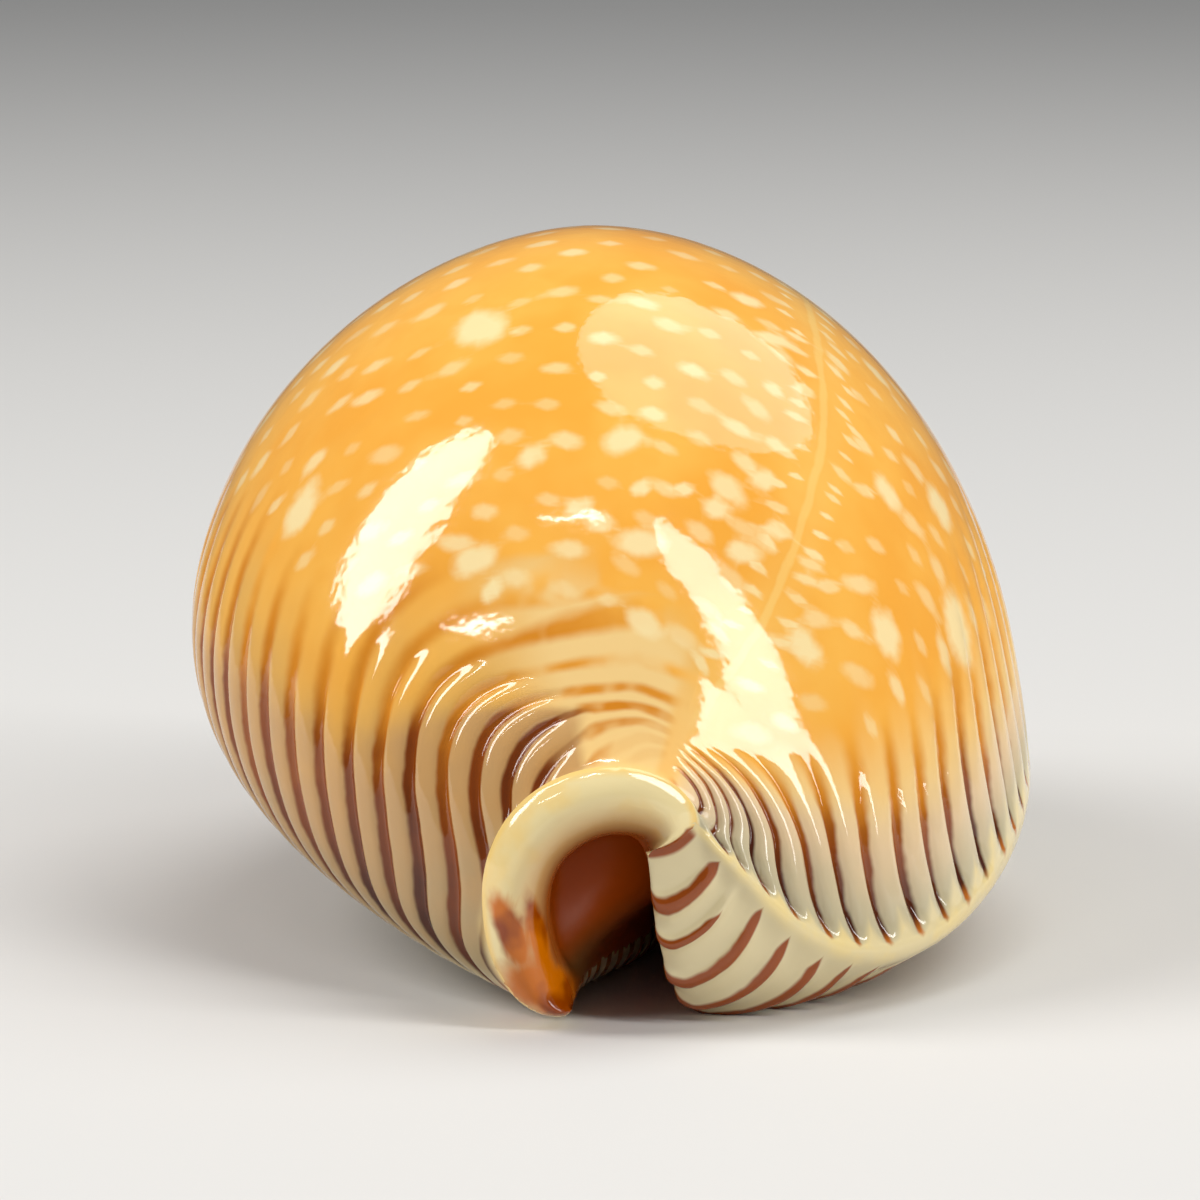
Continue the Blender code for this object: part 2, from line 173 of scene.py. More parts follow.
# The same, but softly between them.
def ease(start, end, value):
    f = ramp(start, end, value)
    return f * f * (3 - 2 * f)


# Rises over one range and falls over another.
def within(rise, fall, value):
    return ease(*rise, value) * (1 - ease(*fall, value))


# Reads a value off knots, each of them a place and the value there.
def readOff(knots, value):
    return np.interp(value, [k[0] for k in knots], [k[1] for k in knots])


# The same with its corners rounded over the given reach.
def readSmooth(knots, value, reach):
    return sum(readOff(knots, value + step * reach) for step in (-1, -0.6, -0.2, 0.2, 0.6, 1)) / 6


# A quarter oval from a point where it stands upright (f = 0) to one where it lies level.
def quarterOval(upright, level, full, f):
    angle = f * math.pi / 2
    across = np.cos(angle) ** (2 / full)
    up = np.sin(angle) ** (2 / full)
    x = level[..., 0] + (upright[..., 0] - level[..., 0]) * across
    y = upright[..., 1] + (level[..., 1] - upright[..., 1]) * np.sin(angle) ** 2
    z = upright[..., 2] + (level[..., 2] - upright[..., 2]) * up
    return np.stack([x, y, z], -1)


# Radii of the lips' rolled edges.
def lipRadii(t, rails):
    width = rails[..., margin, 0] - rails[..., side, 0]
    inner = np.clip(shellForm["lipRollShare"] * width, *shellForm["lipRoll"])[..., None]
    return inner * ease(*shellForm["lipRollStart"], t)[..., None], inner


def rolledLip(low, radius, angle):
    turn = np.stack([np.cos(angle), np.zeros_like(angle), 1 + np.sin(angle)], -1)
    return low + radius * turn


def outerSurface(station, roundPlace):
    t, v = np.broadcast_arrays(np.asarray(station, float), np.asarray(roundPlace, float))
    atRoll, atMargin, atTop, atSide = (shellForm[k] for k in ("atRoll", "atMargin", "atTop", "atSide"))
    rails = curveAt(shellForm["stations"], t)
    outerRadius, innerRadius = lipRadii(t, rails)
    sideways = np.array([1.0, 0.0, 0.0])
    lowRight = rails[..., lip, :] + sideways * outerRadius
    lowLeft = rails[..., innerLip, :] - sideways * innerRadius
    marginPoint, topPoint, sidePoint = (rails[..., k, :] for k in (margin, top, side))
    quarters = (
        (v < atRoll, rolledLip(lowRight, outerRadius, math.pi + 0.5 * math.pi * v / atRoll)),
        (v < atMargin, quarterOval(marginPoint, lowRight, readOff(shellForm["fullLipBase"], t),
                                   ramp(atMargin, atRoll, v))),
        (v < atTop, quarterOval(marginPoint, topPoint, readOff(shellForm["fullLipSide"], t),
                                ramp(atMargin, atTop, v))),
        (v < atSide, quarterOval(sidePoint, topPoint, readOff(shellForm["fullInnerSide"], t),
                                 ramp(atSide, atTop, v))),
        (v < 1 - atRoll, quarterOval(sidePoint, lowLeft, readOff(shellForm["fullInnerBase"], t),
                                     ramp(atSide, 1 - atRoll, v))),
        (v <= 1, rolledLip(lowLeft, innerRadius, 2 * math.pi - 0.5 * math.pi * (1 - v) / atRoll)),
    )
    result = np.zeros(t.shape + (3,))
    left = np.ones(t.shape, bool)
    for here, points in quarters:
        use = left & here
        result[use] = points[use]
        left &= ~here
    return result


ribs = {
    # mm along the outer lip's margin where the first lines cross it, and the pitch after them
    "lipLines": (0.2, 2.0, 3.1, 4.8, 6.6, 8.6, 10.3, 12.15, 14.3, 16.15, 18.15, 20.5, 23.0),
    "lipPitch": 2.1,
    "innerPitch": 2.05,               # mm along the inner side
    # how many ribs the lines run off the growth lines, as (place round the shell, ribs)
    "lipSweep": ((0.0, 0.2), (0.19, 0.2), (0.25, 0), (0.265, 0.15), (0.285, 0.3), (0.30, 0.1), (0.32, -0.35),
                 (0.34, -0.75), (0.37, -1.3), (0.42, -1.9)),
    "innerSweep": ((0.42, -4.6), (0.50, -3.4), (0.52, -3.0), (0.54, -2.4), (0.572, -1.9), (0.60, -1.4),
                   (0.63, -0.8), (0.66, -0.15), (0.70, 0.45), (0.74, 0.75), (0.78, 0.7), (0.82, 0.1),
                   (0.88, 0.0)),
    "innerShift": 0.38,               # the same, away from the spire
    "sweepRound": (0.012, 0.025),     # reach over which the corners of the two sweeps are rounded
    "groove": 0.30,                   # mm deep
    "grooveWidth": 0.19,              # of the pitch
    "deeperAtLip": 0.5,               # more depth just above the outer lip's margin
    "tooth": 0.34,                    # mm high
    "toothSlant": 0.9,                # stations by which a tooth runs on forward to the lip
    "callus": 0.45,                   # mm
    "wander": 0.08,                   # how far a rib strays, in ribs
    # growth line at which the collar ends, as (place round the shell, line)
    "collarEdge": ((0.25, 0.5), (0.296, 0.6), (0.35, 1.5), (0.44, 2.45), (0.506, 2.6), (0.54, 2.5),
                   (0.59, 1.95), (0.68, 1.9), (0.75, 2.35), (0.79, 2.75), (0.86, 3.1)),
    # growth lines over which each thing starts or ends
    "slantLines": ((0, 2), (5, 8)),
    "wanderLines": (3.0, 6.0),
    "spireLines": (6.8, 9.0),         # where the inner side's ribs keep to the growth lines again
    "highRibLines": (4.6, 6.6),       # up to here the grooves run higher
    "deeperLines": (2.0, 4.0),
    "frontLines": (13.2, 14.2),
    "lipTeethLines": (0.8, 1.8),
    "innerTeethLines": (6.0, 8.0),
    "callusLines": (0.5, 2.5),
    "pastCollar": (-0.1, 0.8),        # lines past the collar's edge
    "rimFade": 0.3,                   # lines over which all relief rises behind a rim
    # the same as places round the shell
    "slantPlaces": (0.02, 0.25),
    "lipGrooveFoot": (0.245, 0.265),
    "lipGrooveTop": (0.27, 0.35),
    "lipGrooveHigher": (0.04, 0.08),
    "deeperPlaces": (0.265, 0.33),
    "innerGrooveTop": (0.66, 0.73),
    "innerGrooveHigher": 0.14,
    "innerGrooveFoot": (0.86, 0.90),
    "lipTeeth": ((0.0, 0.03), (0.13, 0.22)),
    "innerTeeth": ((0.88, 0.93), (0.97, 1.0)),
    "callusPlace": (0.225, 0.035),    # middle and half width
}


# The station that a growth line passes at a place round the shell.
def growthLine(line, roundPlace):
    s, v = np.broadcast_arrays(np.asarray(line, float), np.asarray(roundPlace, float))
    atPole = shellForm["atPole"]
    fromFirst, fromLater = shellForm["drawnFrom"]
    past = 1 - ease(atPole, shellForm["drawnTo"], v)
    first = np.where(v < atPole, ease(fromFirst, atPole, v), past)
    later = np.where(v < atPole, ease(fromLater, atPole, v), past)
    share = ease(*shellForm["laterLines"], s)
    drawn = s - curveAt(shellForm["drawBack"], s) * (first * (1 - share) + later * share)
    slant = within(*ribs["slantLines"], s) * (1 - ease(*ribs["slantPlaces"], v))
    return drawn + ribs["toothSlant"] * slant


# Places along a rail and its length up to them.
def railLength(rail):
    places = np.linspace(0, last, shellForm["railSamples"])
    steps = np.linalg.norm(np.diff(curveAt(shellForm["stations"], places)[:, rail], axis=0), axis=1)
    return places, np.concatenate([[0], np.cumsum(steps)])


# Two slow waves that keep the ribs from running evenly, in ribs.
def ribStray(line, v):
    stray = np.sin(2.3 * line + 1.1) + 0.7 * np.sin(9.0 * v + 1.7 * line)
    return ribs["wander"] * stray * ease(*ribs["wanderLines"], line)


# Lines lie where a count is a whole number, ribs between them.
def lipRibCount(line, v):
    places, lengths = railLength(margin)
    first = list(ribs["lipLines"])
    rest = np.arange(first[-1] + ribs["lipPitch"], lengths[-1] + 2 * ribs["lipPitch"], ribs["lipPitch"])
    crossings = first + list(rest)
    count = np.interp(np.interp(line, places, lengths), crossings, np.arange(1, len(crossings) + 1))
    return count + readSmooth(ribs["lipSweep"], v, ribs["sweepRound"][0]) + ribStray(line, v)


def innerRibCount(line, v):
    places, lengths = railLength(side)
    count = np.interp(line, places, lengths) / ribs["innerPitch"]
    nearSpire = 1 - ease(*ribs["spireLines"], line)
    sweep = readSmooth(ribs["innerSweep"], v, ribs["sweepRound"][1])
    return count + ribs["innerShift"] + (sweep - ribs["innerShift"]) * nearSpire + ribStray(line, v)


def grooveAt(count):
    apart = np.abs(count - np.round(count))
    return np.exp(-(apart / ribs["grooveWidth"]) ** 2)


# Height of ribs, teeth and the margin's callus over the smooth surface, in mm.
def relief(line, v, lipRibs, innerRibs):
    atLip, atInner = grooveAt(lipRibs), grooveAt(innerRibs)
    high = 1 - ease(*ribs["highRibLines"], line)
    front = 1 - ease(*ribs["frontLines"], line)
    lipEnd = [place + more * high for place, more in zip(ribs["lipGrooveTop"], ribs["lipGrooveHigher"])]
    innerEnd = [place - ribs["innerGrooveHigher"] * high for place in ribs["innerGrooveTop"]]
    deeper = (1 - ease(*ribs["deeperPlaces"], v)) * ease(*ribs["deeperLines"], line)
    lipSide = within(ribs["lipGrooveFoot"], lipEnd, v) * (1 + ribs["deeperAtLip"] * deeper)
    innerSide = within(innerEnd, ribs["innerGrooveFoot"], v)
    pastCollar = ease(*ribs["pastCollar"], line - readOff(ribs["collarEdge"], v))
    grooves = ribs["groove"] * pastCollar * front * (atLip * lipSide + atInner * innerSide)
    lipTeeth = within(*ribs["lipTeeth"], v) * ease(*ribs["lipTeethLines"], line)
    innerTeeth = within(*ribs["innerTeeth"], v) * ease(*ribs["innerTeethLines"], line)
    teeth = ribs["tooth"] * front * (atLip * lipTeeth + atInner * innerTeeth)
    middle, halfWidth = ribs["callusPlace"]
    callus = ribs["callus"] * np.exp(-((v - middle) / halfWidth) ** 2)
    callus = callus * ease(*ribs["callusLines"], line) * front
    return teeth + callus - grooves


def surfaceNormals(points):
    normal = np.cross(np.gradient(points, axis=0), np.gradient(points, axis=1))
    return normal / np.maximum(np.linalg.norm(normal, axis=2, keepdims=True), 1e-9)


# The hollow between the outer wall and the earlier whorl, and the canals at its ends.
hollow = {
    "wall": 2.2,                      # mm
    "width": 3.8,                     # mm between the curves' points
    "fullWidth": 37.6,                # mm, the shell's widest
    "throat": (1.6, -2.5, 7.8),       # mm, right, left and top of the canals' throats
    "setback": 1.4,                   # mm, the throat's outer-lip side behind the lip's edge
    "throatStart": 2.6,               # stations
    "rimBulge": 0.65,                 # mm, how far the canals' rims swell past a flat face
    "rimStep": 0.25,                  # stations, over which the rim's lean is read
    "rimRound": 2.6,                  # how far the rims go on leaning, in those steps
    "start": (3.6, 6.4),              # stations, where the throat widens
    "end": (3.4, 1.8),                # stations before the last, where it narrows
    "lipPlaces": (0.1, 0.06),         # places round the shell that keep to the two lips
}


# Points of a canal's throat in mm, from the outer lip's edge over the top to the inner lip's.
def throatRing(t, rails, edgeRight, edgeLeft):
    right, left, high = hollow["throat"]
    inward = np.where(t < last / 2, 1, -1)
    setback = hollow["setback"] * ease(0.3, 3.0, np.minimum(t, last - t))
    y = rails[..., top, 1]
    behindLip = rails[..., lip, 1] + inward * setback
    low = edgeRight[..., 2]
    climb = high + 0.3 - low

    def at(x, depth, z):
        return np.stack(np.broadcast_arrays(x, depth, z), -1)

    rightSide = [at(edgeRight[..., 0], (behindLip + edgeRight[..., 1]) / 2, low + 0.15 * climb),
                 at(right, behindLip, low + 0.69 * climb),
                 at(right - 0.4, (y + behindLip) / 2, low + 0.9 * climb)]
    leftSide = [at(left + 0.2, y, high - 1.0), at(left - 0.1, y, high - 3.2), at(left + 0.4, y, 2.6),
                edgeLeft + np.array([0, 0, 0.6])]
    return [edgeRight, *rightSide, at((right + left) / 2, y, high + 0.3), *leftSide, edgeLeft]


# Points of the hollow in mm, out along the outer wall and back along the earlier whorl.
def hollowRing(rails, edgeRight, edgeLeft):
    marginPoint, topPoint, sidePoint = (rails[..., k, :] for k in (margin, top, side))
    size = (rails[..., margin, 0] - rails[..., side, 0]) / hollow["fullWidth"]
    gap = hollow["width"] * np.clip(size * 1.3, 0, 1)
    wall = np.full_like(size, hollow["wall"])
    rise = size[..., None] * np.array([0, 0, 2.2])

    def shifted(base, x, z):
        return base + np.stack([x, np.zeros_like(size), z], -1)

    return [edgeRight, edgeRight + rise, shifted(marginPoint, -wall - 3.4 * size, 0.8 * size),
            shifted(marginPoint, -wall, 8.0 * size), shifted(topPoint, 2.0 * size, -wall),
            shifted(sidePoint, wall + 2.5 * size, 9.0 * size), shifted(topPoint, 0.5 * size, -wall - gap),
            shifted(marginPoint, -wall - gap - 0.6 * size, 6.5 * size), edgeLeft + rise, edgeLeft]


# The inner surface: swollen rims, canals and the hollow.
def innerSurface(station, roundPlace):
    t, w = np.broadcast_arrays(np.asarray(station, float), np.asarray(roundPlace, float))
    rails = curveAt(shellForm["stations"], t)
    outerRadius, innerRadius = lipRadii(t, rails)
    upward = np.array([0.0, 0.0, 1.0])
    edgeRight = rails[..., lip, :] + upward * outerRadius
    edgeLeft = rails[..., innerLip, :] + upward * innerRadius
    narrow = np.stack(throatRing(t, rails, edgeRight, edgeLeft))
    wide = np.stack(hollowRing(rails, edgeRight, edgeLeft))
    opened = within(hollow["start"], [last - before for before in hollow["end"]], t)[..., None]
    net = narrow + (wide - narrow) * opened
    ring = np.empty(t.shape + (3,))
    for row in range(t.shape[0]):
        table = curveAt(net[:, row], w[row] * (len(net) - 1))
        ring[row] = table[np.arange(w.shape[1]), np.arange(w.shape[1])]
    nearEnd = np.minimum(t, last - t)
    rimPlace = np.where(t < last / 2, 0.0, float(last))
    rim = outerSurface(rimPlace, w)
    pastRim = rim - outerSurface(np.abs(rimPlace - hollow["rimStep"]), w)
    reach = hollow["rimRound"]
    lean = (reach * (1 - np.exp(-nearEnd / (reach * hollow["rimStep"]))))[..., None]
    lips = outerSurface(t, w)
    byOuterLip, byInnerLip = hollow["lipPlaces"]
    apart = (np.clip(w / byOuterLip, 0, 1) * np.clip((1 - w) / byInnerLip, 0, 1))[..., None]
    depth = np.sin(0.5 * math.pi * np.clip(nearEnd / hollow["throatStart"], 0, 1))[..., None]
    outward = np.where(t < last / 2, -1.0, 1.0)[..., None] * np.array([0.0, 1.0, 0.0])
    swell = outward * hollow["rimBulge"] * np.sin(math.pi * depth) * apart
    return (lips + (rim + pastRim * lean - lips) * apart) * (1 - depth) + ring * depth + swell


# Rows run round the shell, one on each of these growth lines.
def rowPlaces():
    places, marginLength = railLength(margin)
    sideLength = railLength(side)[1]
    closer, reach = shellForm["closerAtRims"]
    atRims = closer * (np.minimum(places, reach) + np.maximum(places - last + reach, 0))
    closer, reach = shellForm["closerInView"]
    travelled = (marginLength + sideLength) / 2 + atRims + closer * np.minimum(places, reach)
    return np.interp(np.linspace(0, travelled[-1], shellForm["rows"]), travelled, places)


def columnPlaces():
    places = np.linspace(0, 1, shellForm["columnSamples"])
    onLip, lipEnd = shellForm["closerOnLip"]
    onInnerBase, innerStart = shellForm["closerOnInnerBase"]
    closeness = 1 + onLip * (1 - ease(*lipEnd, places)) + onInnerBase * ease(*innerStart, places)
    travelled = np.concatenate([[0], np.cumsum((closeness[1:] + closeness[:-1]) / 2)])
    return np.interp(np.linspace(0, travelled[-1], shellForm["columns"]), travelled, places)


# Spots that sit at a place of their own, as pixels of the photo: middle x and y, half length,
# half width and the turn of the long axis in degrees, anticlockwise.
ownSpots = {
    "upperLeft": (480, 328, 27, 17, 20),
    "farLeft": (302, 508, 31, 11, 62),
    "lowerLeft": (474, 560, 25, 14, 30),
    "lowerLeftHook": (492, 590, 17, 9, 60),
    "middle": (640, 543, 26, 14, -4),
    # partly a cream spot, partly a painted highlight at the overhead highlight's lower edge
    "aboveMiddle": (623, 440, 21, 15, 20),
    "besideLine": (744, 552, 19, 12, -10),
    "besideLineUpper": (763, 480, 15, 12, -10),
    "besideLineMiddle": (776, 530, 13, 9, -15),
    "besideGlint": (717, 508, 15, 11, -8),
    "leftOfMiddle": (532, 457, 16, 11, 30),
    "leftOfMiddleLower": (578, 507, 16, 9, 30),
    "upperMiddle": (642, 488, 13, 8, 25),
    "upperMiddleRight": (683, 489, 12, 7, 5),
    "nearTopRight": (773, 339, 20, 6, -18),
    "topRight": (747, 300, 17, 5, -22),
    "right": (806, 648, 24, 13, -62),
    "rightLower": (886, 634, 27, 12, -72),
    "rightUpper": (888, 493, 24, 8, -60),
    "rightEdge": (939, 507, 25, 7, -65),
    "rightStreak": (958, 630, 40, 11, -76),
}

# Brown patches on the collar's left lobe, in the same terms; the one at its foot is partly painted shade.
lobePatches = {
    "outer": (511, 932, 40, 14, -66),
    "inner": (538, 934, 46, 10, -76),
    # partly the lobe's own brown, partly painted shade under the lobe
    "foot": (546, 990, 50, 27, -25),
}

farAway = 9.0                         # read where no such mark is near

spotting = {
    "seed": 11,
    "gap": 1.7,                       # mm, least distance between spots
    "tries": 9000,
    "halfWidth": (0.30, 0.47),        # mm
    "largeShare": 0.03,
    "large": (0.52, 0.66),            # mm, half width of a large spot
    "longer": (1.15, 1.7),            # length over width on the back
    "flankLonger": 1.5,               # more on the flanks
    "turned": 0.25,                   # how far a spot may lean off the way round the shell
    "strength": (0.25, 0.6),          # how cream a spot is, 1 at most
    "widerStronger": 0.8,             # what each mm of half width adds to that
    "largeStrength": 0.8,
    "ownStrength": 0.88,
    "ownReach": 3.0,                  # distance from a placed spot, 1 at its edge, that is still its own
    "fromOwn": 1.6,                   # kept clear round a placed spot, in the same terms
    "aboveLevel": 1.05,               # level of the sides above which spots lie
    "beforeLine": 13.6,               # growth line at which they end
    "farthest": 4.0,                  # distance at which a spot is no longer told
    "fromLine": 2.1,                  # mm kept clear beside the mantle line
    "fringeLines": (6.3, 12.5),       # growth lines between which the line has dashes
    "fringeStart": 0.02,              # of the line's length
    "fringeStep": 1.05,               # mm between the dashes along the line
    "fringeStepVaries": (0.75, 1.3),
    "fringeOff": 1.15,                # mm from the line
    "fringeOffVaries": (0.85, 1.25),
    "fringeSlant": (0.2, 0.7),
    "fringeSize": (0.62, 0.24),       # mm, half length and half width
    "fringeSizeVaries": (0.7, 1.2),
    "fringeStrength": (0.55, 0.85),
}

# place of the mantle line round the shell, as (growth line, place)
mantleLine = ((5.0, 0.421), (5.8, 0.420), (6.6, 0.408), (7.0, 0.401), (7.9, 0.401), (8.3, 0.407),
              (8.7, 0.413), (9.6, 0.420), (11.0, 0.430), (15.0, 0.445))

sideLines = {
    # where the lines turn from brown to orange, and where they end, as (growth line, place round the shell)
    "lipDarkTop": ((3.5, 0.385), (4.6, 0.350), (5.4, 0.318), (6.2, 0.294), (7.0, 0.284), (8.0, 0.275),
                   (15.0, 0.273)),
    "lipTop": ((3.8, 0.450), (4.6, 0.430), (5.1, 0.392), (5.7, 0.362), (6.2, 0.336), (6.7, 0.322),
               (7.2, 0.314), (8.5, 0.303), (15.0, 0.300)),
    # the same on the inner side, as (line number, place)
    "innerDarkTop": ((0.0, 0.550), (1.0, 0.545), (2.0, 0.590), (3.0, 0.630), (4.0, 0.660), (5.0, 0.690),
                     (6.0, 0.715), (12.0, 0.725)),
    "innerTop": ((0.0, 0.530), (1.0, 0.515), (2.0, 0.560), (3.0, 0.592), (4.0, 0.615), (5.0, 0.632),
                 (6.0, 0.648), (8.0, 0.655), (12.0, 0.665), (30.0, 0.675)),
    "lipFoot": 0.25,                  # places where the two sides start
    "innerFoot": 0.93,
    "meeting": 0.43,                  # place where the lines of the two sides meet
    # highest level of the arcs of orange and cream above the spire canal, and how it rises over growth lines
    "arcLevel": 0.84,
    "arcRise": (0.5, (5.3, 6.9)),
    "arcSteepRise": (2.0, (6.4, 7.6)),
}


# Distance to the nearest placed mark, 1 at its edge.
def placedMarks(points, normals, marks):
    seenX, seenY, facing = photoPlace(points, normals)
    nearest = np.full(seenX.shape, farAway)
    for middleX, middleY, halfLength, halfWidth, turn in marks.values():
        angle = math.radians(turn)
        x, y = seenX - middleX, middleY - seenY
        along = (x * math.cos(angle) + y * math.sin(angle)) / halfLength
        aside = (y * math.cos(angle) - x * math.sin(angle)) / halfWidth
        nearest = np.minimum(nearest, np.hypot(along, aside))
    return np.where(facing, nearest, farAway)


def unit(vectors):
    return vectors / np.maximum(np.linalg.norm(vectors, axis=-1, keepdims=True), 1e-9)


# Short dashes on both sides of the mantle line: middle, long axis, half length, half width, strength.
def fringeSpots(points, lines, fromMantle, aroundWay, alongWay, chance):
    onLine = np.argmin(np.abs(fromMantle), axis=1)
    rows = np.arange(len(points))
    track = points[rows, onLine]
    travelled = np.concatenate([[0], np.cumsum(np.linalg.norm(np.diff(track, axis=0), axis=1))])
    firstLine, lastLine = spotting["fringeLines"]
    spots = []
    for sideways in (-1, 1):
        place = travelled[-1] * spotting["fringeStart"]
        while place < travelled[-1]:
            place += spotting["fringeStep"] * chance.uniform(*spotting["fringeStepVaries"])
            row = min(np.searchsorted(travelled, place), len(points) - 1)
            if not firstLine < lines[row, 0] < lastLine:
                continue
            off = sideways * spotting["fringeOff"] * chance.uniform(*spotting["fringeOffVaries"])
            column = np.argmin(np.abs(fromMantle[row] - off))
            slant = chance.uniform(*spotting["fringeSlant"])
            slant *= 1 if sideways < 0 else chance.choice((-1, 1))
            way = unit(aroundWay[row, column] + slant * alongWay[row, column])
            size = chance.uniform(*spotting["fringeSizeVaries"])
            length, width = (size * part for part in spotting["fringeSize"])
            strength = chance.uniform(*spotting["fringeStrength"])
            spots.append((points[row, column], way, length, width, strength))
    return spots


# Cream spots strewn over the back with at least a gap between them, longer on the flanks.
def strewnSpots(points, own, free, flank, aroundWay, alongWay, chance):
    candidates = np.flatnonzero(free & (own.ravel() > spotting["fromOwn"]))
    flat, flatAround = points.reshape(-1, 3), aroundWay.reshape(-1, 3)
    flatAlong, flatFlank = alongWay.reshape(-1, 3), flank.ravel()
    alongStep, aroundStep = (np.linalg.norm(np.gradient(points, axis=k), axis=2) for k in (0, 1))
    weight = (alongStep * aroundStep).ravel()[candidates]
    turned = spotting["turned"]
    chosen, spots = np.empty((0, 3)), []
    for index in chance.choice(candidates, spotting["tries"], p=weight / weight.sum()):
        middle = flat[index]
        if len(chosen) and np.linalg.norm(chosen - middle, axis=1).min() < spotting["gap"]:
            continue
        chosen = np.vstack([chosen, middle])
        large = chance.random() < spotting["largeShare"]
        width = chance.uniform(*spotting["large" if large else "halfWidth"])
        longer = chance.uniform(*spotting["longer"]) * (1 + (spotting["flankLonger"] - 1) * flatFlank[index])
        way = unit(flatAround[index] + chance.uniform(-turned, turned) * flatAlong[index])
        strength = spotting["largeStrength"]
        if not large:
            wider = spotting["widerStronger"] * (width - spotting["halfWidth"][0])
            strength = chance.uniform(*spotting["strength"]) + wider
        spots.append((middle, way, width * longer, width, strength))
    return spots


# For each point the distance to the nearest spot, 1 at its edge, and that spot's strength.
def spotFields(points, own, spots):
    nearest, strength = own.copy(), np.where(own < spotting["ownReach"], spotting["ownStrength"], 0.0)
    for middle, way, length, width, force in spots:
        offset = points - middle
        along = offset @ way
        aside = np.maximum((offset**2).sum(-1) - along**2, 0)
        distance = np.sqrt((along / length) ** 2 + aside / width**2)
        closer = distance < nearest
        nearest[closer] = distance[closer]
        strength[closer] = force
    return np.minimum(nearest, spotting["farthest"]), strength


# 0 at the foot of the sides, 0.5 where the lines turn orange, 1 where they end, 3 at most on the back.
def sideLevel(line, v, innerRibs):
    def risen(name, value):
        foot = sideLines[name + "Foot"]
        dark, end = (readOff(sideLines[name + part], value) for part in ("DarkTop", "Top"))
        low = 0.5 * (v - foot) / (dark - foot)
        high = 0.5 + 0.5 * (v - dark) / (end - dark)
        return np.where((v - dark) * (end - dark) < 0, low, high)

    rise, riseLines = sideLines["arcRise"]
    steepRise, steepLines = sideLines["arcSteepRise"]
    arcs = sideLines["arcLevel"] + rise * ease(*riseLines, line) ** 2 + steepRise * ease(*steepLines, line)
    innerSide = np.minimum(risen("inner", innerRibs), arcs)
    return np.clip(np.where(v < sideLines["meeting"], risen("lip", line), innerSide), 0, 3)


# What the material reads, one value for each point.
def markings(points, normals, lines, columns, lipRibs, innerRibs, isInside):
    steps = np.linalg.norm(np.diff(points, axis=1), axis=2)
    around = np.concatenate([np.zeros((len(points), 1)), np.cumsum(steps, axis=1)], axis=1)
    mantlePlace = readOff(mantleLine, lines[:, 0])
    atMantle = np.array([np.interp(p, columns[0], row) for p, row in zip(mantlePlace, around)])
    fromMantle = around - atMantle[:, None]
    level = sideLevel(lines, columns, innerRibs)
    if isInside:
        distance, strength = np.full(lines.shape, spotting["farthest"]), np.zeros(lines.shape)
    else:
        aroundWay, alongWay = unit(np.gradient(points, axis=1)), unit(np.gradient(points, axis=0))
        own = placedMarks(points, normals, ownSpots)
        chance = np.random.default_rng(spotting["seed"])
        free = (level > spotting["aboveLevel"]) & (lines < spotting["beforeLine"])
        free &= np.abs(fromMantle) > spotting["fromLine"]
        flank = 1 - np.abs(normals[..., 2])
        spots = fringeSpots(points, lines, fromMantle, aroundWay, alongWay, chance)
        spots += strewnSpots(points, own, free.ravel(), flank, aroundWay, alongWay, chance)
        distance, strength = spotFields(points, own, spots)
        print("spots on the back:", len(spots))
    return {
        "line": lines,
        "fromRim": np.minimum(lines, last - lines),
        "place": np.broadcast_to(columns, lines.shape),
        "lipRibs": lipRibs,
        "innerRibs": innerRibs,
        "sideLevel": level,
        "pastCollar": lines - readOff(ribs["collarEdge"], columns),
        "lobePatch": placedMarks(points, -normals if isInside else normals, lobePatches),
        "mantle": fromMantle,
        "inside": np.full(lines.shape, float(isInside)),
        "spotDistance": distance,
        "spotStrength": strength,
    }


def addSheet(bm, points, values, layers):
    rows, columns = points.shape[:2]
    made = bmesh.ops.create_grid(bm, x_segments=columns - 1, y_segments=rows - 1, size=1.0)["verts"]
    flat = points.reshape(-1, 3) * mm
    for vert, place in zip(made, flat):
        vert.co = place
    for name, layer in layers.items():
        for vert, value in zip(made, values[name].ravel().tolist()):
            vert[layer] = value
    for row, inward in ((0, 1), (rows - 1, -1)):          # corner faces are split outward from the corner
        for column, sideways in ((0, 1), (columns - 1, -1)):
            corner = made[row * columns + column]
            nextIn = made[(row + inward) * columns + column + sideways]
            bmesh.ops.connect_vert_pair(bm, verts=[corner, nextIn])
    return made


def surfaces():
    lines = rowPlaces()[:, None]
    columns = columnPlaces()[None, :]
    stations = growthLine(lines, columns)
    smooth = outerSurface(stations, columns)
    lines = np.broadcast_to(lines, stations.shape)
    lipRibs, innerRibs = lipRibCount(lines, columns), innerRibCount(lines, columns)
    ends = np.minimum(1, np.minimum(lines, last - lines) / ribs["rimFade"])
    height = (relief(lines, columns, lipRibs, innerRibs) * ends)[..., None]
    outer = smooth + surfaceNormals(smooth) * height
    outer[:, [0, -1]] = smooth[:, [0, -1]]
    inner = innerSurface(stations, columns)
    for edge in (np.s_[0], np.s_[-1], np.s_[:, 0], np.s_[:, -1]):
        inner[edge] = outer[edge]                         # both surfaces share their border
    return outer, inner, lines, columns, lipRibs, innerRibs


# Puts the fine surface where the CAD solid is, which stands on flats cut off the lowest points.
def placeInFrame(outer, inner):
    low, high = (np.array(corner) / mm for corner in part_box("shell"))
    lowest, highest = outer.reshape(-1, 3).min(0), outer.reshape(-1, 3).max(0)
    shift = (low + high) / 2 - (lowest + highest) / 2
    shift[2] = high[2] - highest[2]
    for points in (outer, inner):
        points += shift
        points[..., 2] = np.maximum(points[..., 2], low[2])


